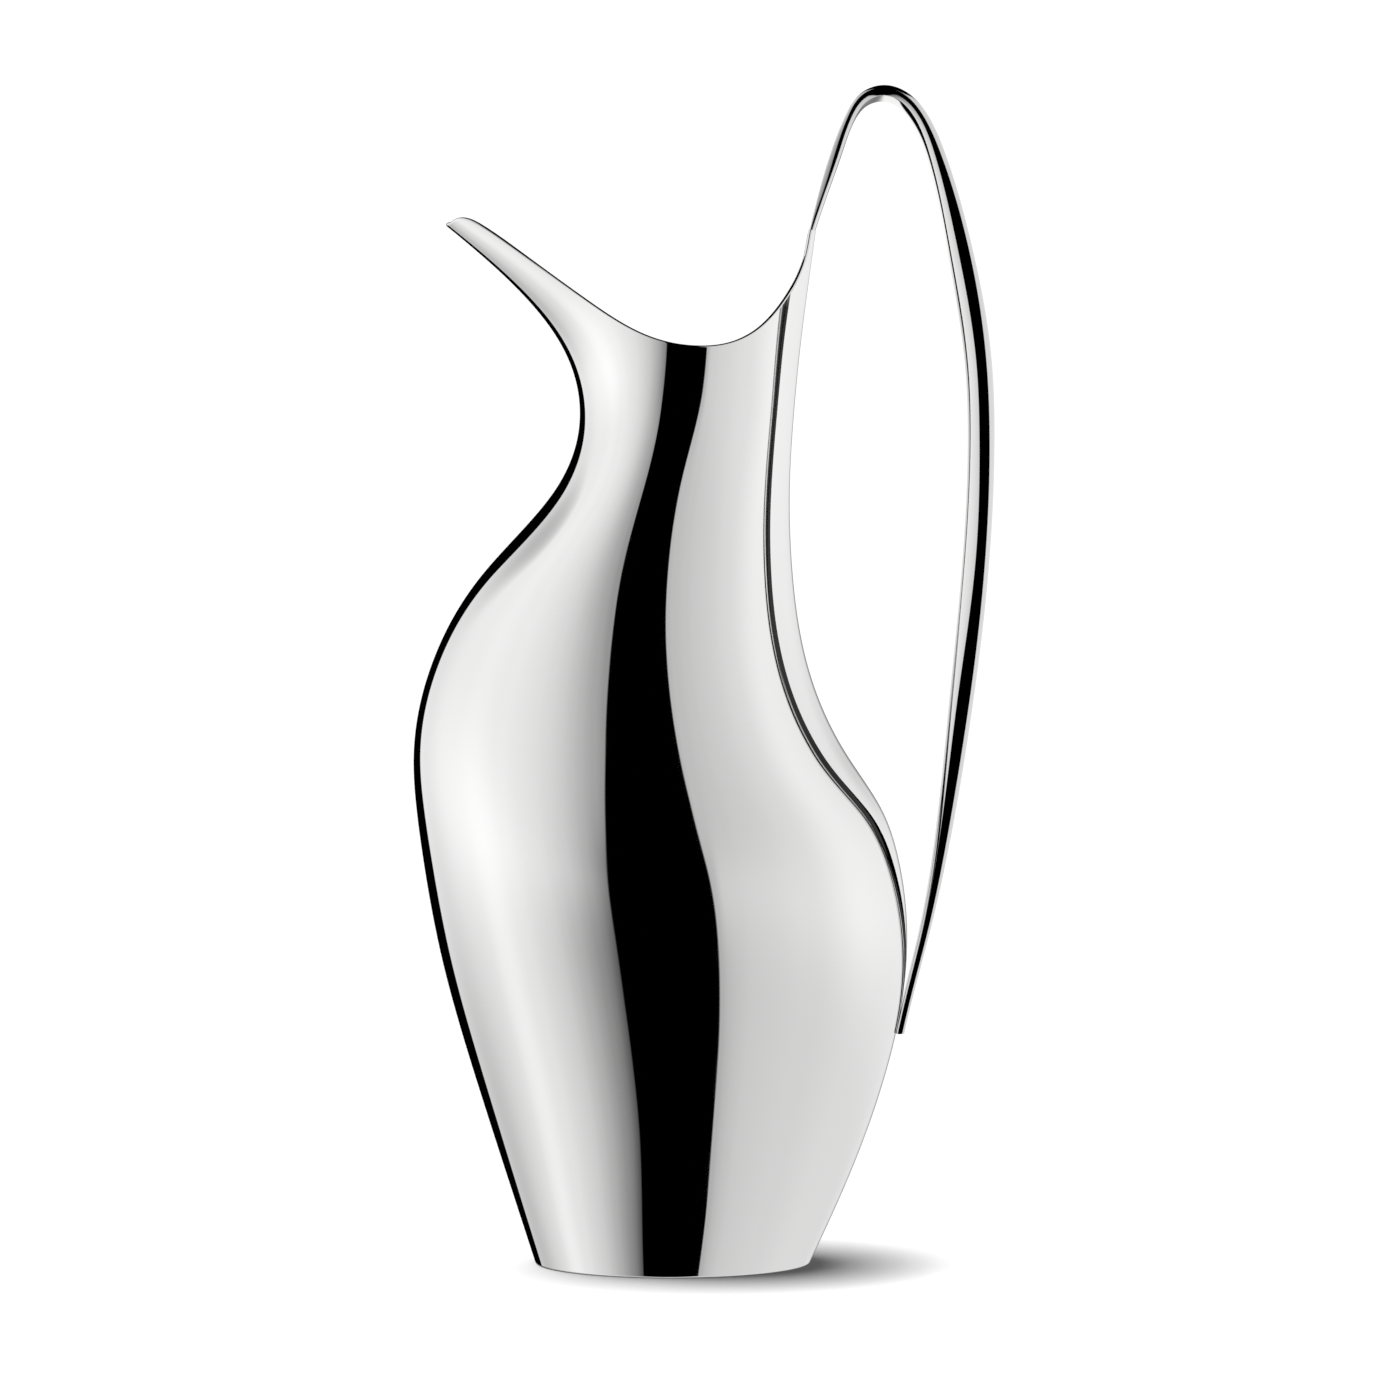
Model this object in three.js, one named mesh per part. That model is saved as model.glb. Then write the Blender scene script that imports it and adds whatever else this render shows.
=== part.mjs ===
// A mirror-polished water pitcher: a waisted oval vessel that leans out into a beak spout at the front,
// and a slim handle that grows out of the back rim, arches over and comes down to the belly.
// Millimetres. +X runs from the spout to the handle, +Y across the vessel, +Z up. The origin is on the
// table, under the middle of the whole pitcher. Every station below was chosen by hand.
import * as THREE from "three";

// ---- driving dimensions -------------------------------------------------------------------------

const WALL = 1.0; // sheet of the vessel
const GRIP_WALL = 0.8; // sheet of the hollow grip
const WELD_GAP = 0.3; // room left where two pieces are welded edge to edge
const NECK_HEIGHT = 254; // where the back wall of the vessel ends and the handle stem begins
const TIP_HEIGHT = 56.5; // where the handle is cut off level, on the belly
const SPIGOT_LENGTH = 8; // how far the solid ends of the handle reach into the hollow grip
const GRIP_START = 262; // height of the weld between stem and grip, on the way down
const GRIP_END = 95; // height of the weld between grip and tip

const SILVER = { color: 0xd8d8d6, roughness: 0.05, metalness: 1 };
const SILVER_INSIDE = { color: 0xc9c9c6, roughness: 0.25, metalness: 1 };

// Level sections of the vessel: height, front and back of the section, where it is widest, its half
// width, and how much its front end and its back end are pinched in from an ellipse.
const VESSEL_STATIONS = [
  { height: 0, front: -41.5, back: 26.1, crest: -8.1, halfWidth: 28.2, frontPinch: 0, backPinch: 0 },
  { height: 20, front: -48.0, back: 35.2, crest: -7.2, halfWidth: 34.4, frontPinch: 0, backPinch: 0 },
  { height: 45, front: -56.0, back: 44.3, crest: -7.0, halfWidth: 42.9, frontPinch: 0, backPinch: 0 },
  { height: 75, front: -64.5, back: 50.0, crest: -8.5, halfWidth: 50.7, frontPinch: 0, backPinch: 0 },
  { height: 100, front: -69.2, back: 47.9, crest: -11.4, halfWidth: 52.6, frontPinch: 0, backPinch: 0 },
  { height: 112, front: -70.8, back: 43.7, crest: -13.0, halfWidth: 50.9, frontPinch: 0, backPinch: 0 },
  { height: 125, front: -71.5, back: 35.4, crest: -14.4, halfWidth: 48.0, frontPinch: 0, backPinch: 0 },
  { height: 150, front: -66.1, back: 24.9, crest: -15.6, halfWidth: 40.9, frontPinch: 0, backPinch: 0 },
  { height: 170, front: -54.3, back: 21.9, crest: -14.3, halfWidth: 34.5, frontPinch: 0, backPinch: 0 },
  { height: 190, front: -37.0, back: 21.2, crest: -10.5, halfWidth: 29.0, frontPinch: 0, backPinch: 0 },
  { height: 210, front: -30.6, back: 22.3, crest: -5.8, halfWidth: 25.9, frontPinch: 0.02, backPinch: 0.02 },
  { height: 228, front: -36.2, back: 24.1, crest: -3.8, halfWidth: 26.0, frontPinch: 0.16, backPinch: 0.16 },
  { height: 244, front: -50.0, back: 26.2, crest: -3.2, halfWidth: 25.0, frontPinch: 0.32, backPinch: 0.36 },
  { height: 260, front: -68.9, back: 28.4, crest: -4.0, halfWidth: 24.0, frontPinch: 0.42, backPinch: 0.5 },
];

// The mouth seen from the side, from the tip of the spout to the foot of the handle stem.
const RIM_STATIONS = [
  [-62.4, 255.5],
  [-60.9, 256.2],
  [-58.2, 256.2],
  [-54.4, 254.3],
  [-46.1, 248.4],
  [-29.1, 235.6],
  [-15.2, 226.7],
  [-1.3, 223.5],
  [9.6, 225.8],
  [14.0, 228.8],
  [17.8, 232.9],
  [21.2, 237.9],
  [24.6, 244.9],
  [25.6, 248.2],
  [26.7, 254.0],
];

// The handle, along its middle: place, thickness from the finger side outwards, width across, and how
// far the section is bowed, which carries the round of the back wall into the stem.
const HANDLE_STATIONS = [
  { x: 26.9, height: 254.0, thickness: 0.9, width: 9.0, bow: 0.5 },
  { x: 29.4, height: 262.9, thickness: 1.9, width: 9.6, bow: 0.4 },
  { x: 32.9, height: 273.8, thickness: 2.6, width: 10.4, bow: 0.2 },
  { x: 35.9, height: 281.8, thickness: 2.5, width: 11.0, bow: 0 },
  { x: 39.4, height: 286.7, thickness: 2.6, width: 11.5, bow: 0 },
  { x: 44.5, height: 288.3, thickness: 2.7, width: 12.0, bow: 0 },
  { x: 49.3, height: 286.5, thickness: 2.9, width: 12.4, bow: 0 },
  { x: 52.8, height: 282.7, thickness: 3.2, width: 12.8, bow: 0 },
  { x: 57.2, height: 273.0, thickness: 3.9, width: 13.0, bow: 0 },
  { x: 63.1, height: 249.9, thickness: 5.6, width: 13.0, bow: 0 },
  { x: 67.7, height: 222.0, thickness: 6.2, width: 13.0, bow: 0 },
  { x: 68.4, height: 202.0, thickness: 6.2, width: 13.0, bow: 0 },
  { x: 67.1, height: 173.0, thickness: 6.3, width: 12.4, bow: 0 },
  { x: 63.5, height: 138.5, thickness: 5.6, width: 11.2, bow: 0 },
  { x: 58.8, height: 104.0, thickness: 3.5, width: 9.6, bow: 0 },
  { x: 54.5, height: 82.0, thickness: 2.4, width: 8.0, bow: 0 },
  { x: 50.2, height: 64.8, thickness: 2.1, width: 6.8, bow: 0 },
  { x: 48.3, height: 56.5, thickness: 2.0, width: 6.2, bow: 0 },
];
const SQUARENESS = 0.28; // of the handle's section: 0 is an oval, 0.5 has flat sides

// Steps of the faceted surfaces.
const STEPS_AROUND_HALF = 26;
const STEPS_IN_NECK = 3;
const STEPS_UP = 30;
const STEPS_ACROSS_GRIP = 8;
const SIDES_OF_HANDLE = 16;
const HANDLE_STEP = 6; // millimetres along the handle

// ---- curves -------------------------------------------------------------------------------------

// A natural cubic spline through the given values: smooth to its second derivative, as a fair
// hull line is, so that the polished surface has no ripple.
function fairCurve(at, values) {
  const last = at.length - 1;
  const bend = new Array(last + 1).fill(0);
  const carry = new Array(last + 1).fill(0);
  for (let i = 1; i < last; i++) {
    const before = at[i] - at[i - 1];
    const after = at[i + 1] - at[i];
    const slopeChange = (values[i + 1] - values[i]) / after - (values[i] - values[i - 1]) / before;
    const pivot = 2 * (before + after) - before * carry[i - 1];
    carry[i] = after / pivot;
    bend[i] = (6 * slopeChange - before * bend[i - 1]) / pivot;
  }
  for (let i = last - 1; i > 0; i--) bend[i] -= carry[i] * bend[i + 1];
  return (wanted) => {
    let i = 1;
    while (i < last && at[i] < wanted) i++;
    const span = at[i] - at[i - 1];
    const left = at[i] - wanted;
    const right = wanted - at[i - 1];
    return (
      (bend[i - 1] * left ** 3 + bend[i] * right ** 3) / (6 * span) +
      (values[i - 1] / span - (bend[i - 1] * span) / 6) * left +
      (values[i] / span - (bend[i] * span) / 6) * right
    );
  };
}

// One fair curve for each named column of a list of stations.
function fairColumns(at, stations) {
  const names = Object.keys(stations[0]);
  const curves = names.map((name) => fairCurve(at, stations.map((station) => station[name])));
  return (wanted) => Object.fromEntries(names.map((name, i) => [name, curves[i](wanted)]));
}

// The value between low and high at which a rising function reaches zero.
function findZero(rising, low, high) {
  const halvings = 40;
  for (let i = 0; i < halvings; i++) {
    const middle = (low + high) / 2;
    if (rising(middle) < 0) low = middle;
    else high = middle;
  }
  return (low + high) / 2;
}

// ---- the vessel's surface -----------------------------------------------------------------------

const vesselAt = fairColumns(VESSEL_STATIONS.map((station) => station.height), VESSEL_STATIONS);
const rimHeightAt = fairCurve(RIM_STATIONS.map(([x]) => x), RIM_STATIONS.map(([, height]) => height));

// A point of the outer surface. The angle runs round the section from 0 at the back to PI at the front.
function vesselPoint(angle, height) {
  const { front, back, crest, halfWidth, frontPinch, backPinch } = vesselAt(height);
  const forward = Math.cos(angle);
  const halfLength = (back - front) / 2;
  const lean = (back + front) / 2 - crest;
  const pinch = ((backPinch - frontPinch) / 2) * forward + ((backPinch + frontPinch) / 2) * forward ** 2;
  return new THREE.Vector3(
    crest + halfLength * forward + lean * forward ** 2,
    halfWidth * Math.sin(angle) * (1 - pinch),
    height,
  );
}

function vesselNormal(angle, height) {
  const small = 1e-3;
  const around = vesselPoint(angle + small, height).sub(vesselPoint(angle - small, height));
  const up = vesselPoint(angle, height + small).sub(vesselPoint(angle, height - small));
  return around.cross(up).normalize();
}

// The angle at which the rim reaches the neck, where the stem is welded on.
const neckAngle = findZero(
  (angle) => RIM_STATIONS.at(-1)[0] - vesselPoint(angle, NECK_HEIGHT).x,
  0,
  Math.PI / 2,
);

// How high the wall stands at an angle: up to the rim line, or to the level cut at the neck.
function wallHeight(angle) {
  if (angle <= neckAngle) return NECK_HEIGHT;
  const lowest = 200;
  const highest = VESSEL_STATIONS.at(-1).height;
  const aboveRim = (height) => {
    const { x } = vesselPoint(angle, height);
    return height - rimHeightAt(Math.max(x, RIM_STATIONS[0][0]));
  };
  return findZero(aboveRim, lowest, highest);
}

// ---- meshes -------------------------------------------------------------------------------------

function meshOf(name, points, triangles, look) {
  const geometry = new THREE.BufferGeometry();
  geometry.setAttribute(
    "position",
    new THREE.Float32BufferAttribute(points.flatMap((point) => point.toArray()), 3),
  );
  geometry.setIndex(triangles);
  geometry.computeVertexNormals();
  const mesh = new THREE.Mesh(geometry, new THREE.MeshStandardMaterial(look));
  mesh.name = name;
  return mesh;
}

// A closed sheet between two grids of points, one for each face, with its four edges closed.
function sheet(name, outer, inner, look) {
  const columns = outer.length;
  const rows = outer[0].length;
  const points = [...outer.flat(), ...inner.flat()];
  const innerFirst = columns * rows;
  const triangles = [];
  const quad = (a, b, c, d) => triangles.push(a, b, c, a, c, d);
  for (let i = 0; i < columns - 1; i++) {
    for (let j = 0; j < rows - 1; j++) {
      const corners = [i * rows + j, (i + 1) * rows + j, (i + 1) * rows + j + 1, i * rows + j + 1];
      quad(...corners);
      quad(...corners.map((corner) => corner + innerFirst).reverse());
    }
  }
  const edge = (from, to) => quad(to, from, from + innerFirst, to + innerFirst);
  for (let i = 0; i < columns - 1; i++) {
    edge(i * rows, (i + 1) * rows);
    edge((i + 2) * rows - 1, (i + 1) * rows - 1);
  }
  for (let j = 0; j < rows - 1; j++) {
    edge(j + 1, j);
    edge((columns - 1) * rows + j, (columns - 1) * rows + j + 1);
  }
  return meshOf(name, points, triangles, look);
}

// A closed body lofted through rings of points, with a flat fan on each end.
function loft(name, rings, look) {
  const sides = rings[0].length;
  const middleOf = (ring) => ring.reduce((sum, point) => sum.add(point), new THREE.Vector3()).divideScalar(sides);
  const points = [...rings.flat(), middleOf(rings[0]), middleOf(rings.at(-1))];
  const firstMiddle = rings.length * sides;
  const lastRing = (rings.length - 1) * sides;
  const triangles = [];
  for (let k = 0; k < sides; k++) {
    const next = (k + 1) % sides;
    for (let i = 0; i < rings.length - 1; i++) {
      const here = i * sides;
      const above = here + sides;
      triangles.push(here + k, here + next, above + next, here + k, above + next, above + k);
    }
    triangles.push(firstMiddle, next, k);
    triangles.push(firstMiddle + 1, lastRing + k, lastRing + next);
  }
  return meshOf(name, points, triangles, look);
}

// ---- the vessel ---------------------------------------------------------------------------------

// Half of the vessel, pressed from sheet, from the middle of its back to the tip of the spout.
// side is +1 for the half at +Y. The halves meet on the middle plane.
function vesselHalf(name, side) {
  const angles = [];
  for (let i = 0; i < STEPS_IN_NECK; i++) angles.push((neckAngle * i) / STEPS_IN_NECK);
  for (let i = 0; i <= STEPS_AROUND_HALF; i++) {
    angles.push(neckAngle + ((Math.PI - neckAngle) * i) / STEPS_AROUND_HALF);
  }
  const outer = [];
  const inner = [];
  for (const angle of angles) {
    const top = wallHeight(angle);
    const outerColumn = [];
    const innerColumn = [];
    for (let j = 0; j <= STEPS_UP; j++) {
      const height = (top * j) / STEPS_UP;
      const point = vesselPoint(angle, height);
      const inside = point.clone().addScaledVector(vesselNormal(angle, height), -WALL);
      if (j === 0) inside.z = 0;
      if (j === STEPS_UP && angle <= neckAngle) inside.z = NECK_HEIGHT;
      outerColumn.push(point);
      innerColumn.push(inside);
    }
    outer.push(outerColumn);
    inner.push(innerColumn);
  }
  [...outer.flat(), ...inner.flat()].forEach((point) => {
    point.y = side * (Math.max(point.y, 0) + WELD_GAP / 2);
  });
  if (side < 0) return sheet(name, outer.reverse(), inner.reverse(), SILVER);
  return sheet(name, outer, inner, SILVER);
}

// The base plate: a pressed dish with a flat flange that stands on the table, set inside the wall.
function basePlate(name) {
  const sides = 48;
  const profile = [
    { share: 0.2, height: 2.6 },
    { share: 0.86, height: 1.8 },
    { share: 0.9, height: 0 },
    { share: 1, height: 0 },
    { share: 1, height: 0.9 },
    { share: 0.92, height: 0.9 },
    { share: 0.88, height: 2.7 },
    { share: 0.2, height: 3.5 },
  ];
  const { crest } = vesselAt(0);
  const rings = profile.map(({ share, height }) => {
    const ring = [];
    for (let k = 0; k < sides; k++) {
      const angle = (2 * Math.PI * k) / sides;
      const edge = vesselPoint(angle, 0);
      const outward = new THREE.Vector3(edge.x - crest, edge.y, 0).normalize();
      edge.addScaledVector(outward, -(WALL + 2 * WELD_GAP));
      ring.push(new THREE.Vector3(crest + (edge.x - crest) * share, edge.y * share, height));
    }
    return ring;
  });
  return loft(name, rings, SILVER_INSIDE);
}

// ---- the handle ---------------------------------------------------------------------------------

// Distance travelled along the handle at each station.
const handleTravel = [0];
HANDLE_STATIONS.slice(1).forEach((station, i) => {
  const before = HANDLE_STATIONS[i];
  handleTravel.push(handleTravel[i] + Math.hypot(station.x - before.x, station.height - before.height));
});
const handleLength = handleTravel.at(-1);
const handleAt = fairColumns(handleTravel, HANDLE_STATIONS);

// The travel at which the handle, on its way down, passes a height.
function travelAtHeight(height) {
  const top = handleLength / 4;
  return findZero((travel) => height - handleAt(travel).height, top, handleLength);
}

// A point of the handle's section. The angle is 0 on the outside of the loop and PI on the finger
// side; inset shrinks the section for the hollow of the grip and for the spigots.
function handlePoint(travel, angle, inset = 0) {
  const small = 1e-3;
  const { x, height, thickness, width, bow } = handleAt(travel);
  const ahead = handleAt(travel + small);
  const along = new THREE.Vector2(ahead.x - x, ahead.height - height).normalize();
  const outward = Math.cos(angle) * (1 + SQUARENESS * Math.sin(angle) ** 2);
  const across = Math.sin(angle) * (1 + SQUARENESS * Math.cos(angle) ** 2);
  const reach = outward * (thickness / 2 - inset) + bow * across ** 2;
  return new THREE.Vector3(x - along.y * reach, across * (width / 2 - inset), height + along.x * reach);
}

function handleRing(travel, inset = 0) {
  const ring = [];
  for (let k = 0; k < SIDES_OF_HANDLE; k++) {
    ring.push(handlePoint(travel, (-2 * Math.PI * k) / SIDES_OF_HANDLE, inset));
  }
  return ring;
}

function travels(from, to) {
  const steps = Math.ceil((to - from) / HANDLE_STEP);
  return Array.from({ length: steps + 1 }, (_, i) => from + ((to - from) * i) / steps);
}

const stemEnd = travelAtHeight(GRIP_START);
const tipStart = travelAtHeight(GRIP_END);
const SPIGOT_INSET = GRIP_WALL + WELD_GAP;

// A ring of the handle moved to one height, for the level cuts at its two ends.
function levelRing(travel, height) {
  const ring = handleRing(travel);
  ring.forEach((point) => {
    point.z = height;
  });
  return ring;
}

// The solid stem: up from the neck, over the arch, ending in a spigot inside the grip.
function handleStem(name) {
  const rings = [levelRing(0, NECK_HEIGHT + WELD_GAP)];
  rings.push(...travels(HANDLE_STEP / 2, stemEnd).map((travel) => handleRing(travel)));
  rings.push(handleRing(stemEnd, SPIGOT_INSET), handleRing(stemEnd + SPIGOT_LENGTH, SPIGOT_INSET));
  return loft(name, rings, SILVER);
}

// The solid tip: a spigot inside the grip, then a taper that ends in a level cut on the belly.
function handleTip(name) {
  const rings = [handleRing(tipStart - SPIGOT_LENGTH, SPIGOT_INSET), handleRing(tipStart, SPIGOT_INSET)];
  rings.push(...travels(tipStart, handleLength - HANDLE_STEP).map((travel) => handleRing(travel)));
  rings.push(levelRing(handleLength, TIP_HEIGHT));
  return loft(name, rings, SILVER);
}

// One of the two pressed channels of the hollow grip. firstAngle is where its section starts: it
// covers half a turn, from one side seam to the other.
function gripShell(name, firstAngle) {
  const outer = [];
  const inner = [];
  const seamDirection = Math.sign(Math.cos(firstAngle - Math.PI / 2));
  for (let k = 0; k <= STEPS_ACROSS_GRIP; k++) {
    const angle = firstAngle - (Math.PI * k) / STEPS_ACROSS_GRIP;
    const outerColumn = [];
    const innerColumn = [];
    for (const travel of travels(stemEnd + WELD_GAP, tipStart - WELD_GAP)) {
      const ahead = handleAt(travel + 1);
      const here = handleAt(travel);
      const seam = new THREE.Vector3(here.height - ahead.height, 0, ahead.x - here.x)
        .normalize()
        .multiplyScalar((seamDirection * WELD_GAP) / 2);
      outerColumn.push(handlePoint(travel, angle).add(seam));
      innerColumn.push(handlePoint(travel, angle, GRIP_WALL).add(seam));
    }
    outer.push(outerColumn);
    inner.push(innerColumn);
  }
  return sheet(name, outer, inner, SILVER);
}

// ---- the assembly -------------------------------------------------------------------------------

const vessel = new THREE.Group();
vessel.add(vesselHalf("vessel_left_half", 1));
vessel.add(vesselHalf("vessel_right_half", -1));
vessel.add(basePlate("base_plate"));

const handle = new THREE.Group();
handle.add(handleStem("handle_stem"));
handle.add(gripShell("grip_outer_shell", Math.PI / 2));
handle.add(gripShell("grip_inner_shell", -Math.PI / 2));
handle.add(handleTip("handle_tip"));

const pitcher = new THREE.Group();
pitcher.add(vessel, handle);

export default pitcher;
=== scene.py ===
"""The looks of a mirror-polished silver water pitcher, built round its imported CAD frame."""

import math

import bpy
import numpy as np
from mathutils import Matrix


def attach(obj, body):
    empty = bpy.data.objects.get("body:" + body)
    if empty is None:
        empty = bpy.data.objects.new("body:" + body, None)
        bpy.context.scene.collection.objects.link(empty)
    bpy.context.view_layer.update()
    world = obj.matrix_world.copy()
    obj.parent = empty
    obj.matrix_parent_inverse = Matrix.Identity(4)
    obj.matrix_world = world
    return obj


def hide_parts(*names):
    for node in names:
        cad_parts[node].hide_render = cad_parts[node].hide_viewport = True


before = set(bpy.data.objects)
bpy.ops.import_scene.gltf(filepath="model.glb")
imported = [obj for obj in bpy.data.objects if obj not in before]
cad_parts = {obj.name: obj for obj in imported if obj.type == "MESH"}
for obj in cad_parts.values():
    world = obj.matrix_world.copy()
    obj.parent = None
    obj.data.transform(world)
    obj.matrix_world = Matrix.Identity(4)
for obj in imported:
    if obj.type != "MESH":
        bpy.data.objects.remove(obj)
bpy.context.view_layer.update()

MM = 0.001

# ---- sizes, in millimetres, as in the CAD model -----------------------------------------------

WALL = 1.0
GRIP_WALL = 0.8
NECK_HEIGHT = 254.0
TIP_HEIGHT = 56.5
GRIP_START = 262.0
GRIP_END = 95.0
SQUARENESS = 0.28

# The whole rim is higher than this.
LOWEST_RIM = 200.0

# The handle's faces. Its two sides turn by SIDE_TURN degrees for each millimetre of thickness, its front
# and its outer chamfer by so many degrees either way, and its inner chamfer from the first direction to
# the second, in degrees from straight out. Its corners have a radius of CORNER.
SIDE_TURN = 0.5
FRONT_TURN = 8
OUTER_TURN = 3
INNER_CHAMFER = (113, 123)
CORNER = 0.2

# Level sections of the vessel.
VESSEL_COLUMNS = ("height", "front", "back", "crest", "half_width", "front_pinch", "back_pinch")
VESSEL_STATIONS = [
    (0, -41.5, 26.1, -8.1, 28.2, 0, 0),
    (20, -48.0, 35.2, -7.2, 34.4, 0, 0),
    (45, -56.0, 44.3, -7.0, 42.9, 0, 0),
    (75, -64.5, 50.0, -8.5, 50.7, 0, 0),
    (100, -69.2, 47.9, -11.4, 52.6, 0, 0),
    (112, -70.8, 43.7, -13.0, 50.9, 0, 0),
    (125, -71.5, 35.4, -14.4, 48.0, 0, 0),
    (150, -66.1, 24.9, -15.6, 40.9, 0, 0),
    (170, -54.3, 21.9, -14.3, 34.5, 0, 0),
    (190, -37.0, 21.2, -10.5, 29.0, 0, 0),
    (210, -30.6, 22.3, -5.8, 25.9, 0.02, 0.02),
    (228, -36.2, 24.1, -3.8, 26.0, 0.16, 0.16),
    (244, -50.0, 26.2, -3.2, 25.0, 0.32, 0.36),
    (260, -68.9, 28.4, -4.0, 24.0, 0.42, 0.5),
]

# The mouth seen from the side, from the tip of the spout to the foot of the handle stem.
RIM_STATIONS = [
    (-62.4, 255.5),
    (-60.9, 256.2),
    (-58.2, 256.2),
    (-54.4, 254.3),
    (-46.1, 248.4),
    (-29.1, 235.6),
    (-15.2, 226.7),
    (-1.3, 223.5),
    (9.6, 225.8),
    (14.0, 228.8),
    (17.8, 232.9),
    (21.2, 237.9),
    (24.6, 244.9),
    (25.6, 248.2),
    (26.7, 254.0),
]

# The handle along its middle.
HANDLE_COLUMNS = ("x", "height", "thickness", "width", "bow", "outer_share", "inner_share", "outer_slant")
HANDLE_STATIONS = [
    (26.9, 254.0, 0.9, 9.0, 0.5, 0.3, 0.3, 12),
    (29.4, 262.9, 1.9, 9.6, 0.4, 0.56, 0.2, 14),
    (32.9, 273.8, 2.6, 10.4, 0.2, 0.42, 0.24, 15),
    (35.9, 281.8, 2.5, 11.0, 0, 0.3, 0.36, 18),
    (39.4, 286.7, 2.6, 11.5, 0, 0.25, 0.36, 22),
    (44.5, 288.3, 2.7, 12.0, 0, 0.3, 0.34, 25),
    (49.3, 286.5, 2.9, 12.4, 0, 0.34, 0.34, 25),
    (52.8, 282.7, 3.2, 12.8, 0, 0.37, 0.34, 25),
    (57.2, 273.0, 3.9, 13.0, 0, 0.32, 0.32, 25),
    (63.1, 249.9, 5.6, 13.0, 0, 0.2, 0.33, 25),
    (67.7, 222.0, 6.2, 13.0, 0, 0.25, 0.35, 25),
    (68.4, 202.0, 6.2, 13.0, 0, 0.23, 0.37, 25),
    (67.1, 173.0, 6.3, 12.4, 0, 0.2, 0.43, 25),
    (63.5, 138.5, 5.6, 11.2, 0, 0.2, 0.27, 25),
    (58.8, 104.0, 3.5, 9.6, 0, 0.27, 0.21, 25),
    (54.5, 82.0, 2.4, 8.0, 0, 0.27, 0.21, 25),
    (50.2, 64.8, 2.1, 6.8, 0, 0.27, 0.21, 25),
    (48.3, 56.5, 2.0, 6.2, 0, 0.27, 0.21, 25),
]

# The base plate's section, from the middle of its underside round its edge to the middle of its top:
# how far out, as a share of the way to the edge, and how high.
PLATE_GAP = 0.3
PLATE_SECTION = [
    (0.0, 2.6),
    (0.4, 2.5),
    (0.8, 2.0),
    (0.85, 1.8),
    (0.875, 1.2),
    (0.89, 0.5),
    (0.905, 0.1),
    (0.92, 0.0),
    (0.98, 0.0),
    (1.0, 0.2),
    (1.0, 0.7),
    (0.98, 0.9),
    (0.93, 0.95),
    (0.91, 1.2),
    (0.895, 1.9),
    (0.88, 2.5),
    (0.85, 2.8),
    (0.8, 3.0),
    (0.4, 3.4),
    (0.0, 3.5),
]

# ---- camera: its place in metres, its lens and sensor in millimetres --------------------------

CAMERA_DISTANCE = 1.0115
CAMERA_HEIGHT = 0.1404
CAMERA_SIDE = -0.00265
CAMERA_LENS = 106.5
CAMERA_SENSOR = 36.0
CAMERA_CLIP = (0.01, 100.0)

# ---- silver -----------------------------------------------------------------------------------

SILVER_COLOURS = [(0.945, 0.945, 0.94, 1), (0.975, 0.975, 0.972, 1)]
# The near black of the painted shade on the handle's finger side below the arch and on its tip: a dark
# crease painted into the colour.
PAINTED_SHADE_COLOUR = (0.045, 0.045, 0.046, 1)

# Each noise has a scale, for each metre, and a detail.
TONE_NOISE = (18, 4)
CLOUD_NOISE = (60, 6)
SCRATCH_NOISE = (900, 3)
SHEET_NOISE = (40, 1)
SCRATCH_STRETCH = (1, 1, 0.03)
NOISE_MIDDLE = (0.25, 0.75)

# How much of the roughness follows the scratches. The rest follows the clouds.
SCRATCH_SHARE = 0.4

# The smoothest and the roughest places, and the depths of the scratches and of the sheet's unevenness,
# in metres.
POLISHED = (0.012, 0.04, 2e-8, 2.5e-5)
SATIN = (0.24, 0.34, 2e-6, 2e-5)

# The painted shade on the handle comes in from the first value of each pair to the second: by the Y of
# the normal, on the camera's side and on the far side, and by the height in metres.
PAINTED_SHADE_NEAR = (-0.045, -0.03)
PAINTED_SHADE_FAR = (0.3, 0.15)
PAINTED_SHADE_HEIGHT = (0.254, 0.236)

# ---- studio -----------------------------------------------------------------------------------

# The softboxes' light round the object. Each stop has an azimuth, in degrees from the camera round
# toward +X, and the light that a reflection sees there when it looks down, level and up.
STUDIO_RING = [
    (-180, 0.69, 0.95, 0.73),
    (-135, 0.50, 0.80, 0.72),
    (-115, 0.60, 0.88, 0.81),
    (-95, 0.76, 0.95, 0.84),
    (-85, 0.86, 0.98, 0.86),
    (-75, 0.79, 0.92, 0.83),
    (-65, 0.72, 0.84, 0.81),
    (-50, 0.58, 0.72, 0.72),
    (-44, 0.48, 0.64, 0.66),
    (-38, 0.39, 0.56, 0.58),
    (-33, 0.30, 0.46, 0.50),
    (-29, 0.24, 0.38, 0.44),
    (-26, 0.18, 0.30, 0.39),
    (-23, 0.10, 0.22, 0.36),
    (-18, 0.05, 0.12, 0.30),
    (20, 0.38, 0.40, 0.48),
    (24, 0.43, 0.48, 0.51),
    (26, 0.48, 0.58, 0.52),
    (29, 0.52, 0.61, 0.54),
    (36, 0.58, 0.64, 0.57),
    (57, 0.63, 0.71, 0.65),
    (75, 0.65, 0.76, 0.73),
    (95, 0.69, 0.87, 0.84),
    (125, 0.70, 0.86, 0.78),
    (145, 0.69, 0.84, 0.72),
    (155, 0.70, 0.82, 0.45),
    (163, 0.66, 0.74, 0.22),
    (168, 0.35, 0.36, 0.15),
    (175, 0.22, 0.22, 0.12),
    (178, 0.60, 0.85, 0.60),
    (180, 0.69, 0.95, 0.73),
]

# How far up or down a reflection looks, as the Z of its direction, when it sees only that light.
FULL_TILT = 0.45

# Half of the dark gap in front, in degrees: at the level, what it loses with Z and with its square, and
# the blur of its edges either way.
GAP_HALF = 22
GAP_LEAN = 4.3
GAP_BULGE = 6.5
GAP_BLUR = 0.4

# The dark flag behind at the left, in degrees.
FLAG_AZIMUTH = -157.5
FLAG_HALF = 14.5
FLAG_BLUR = 0.5

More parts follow.
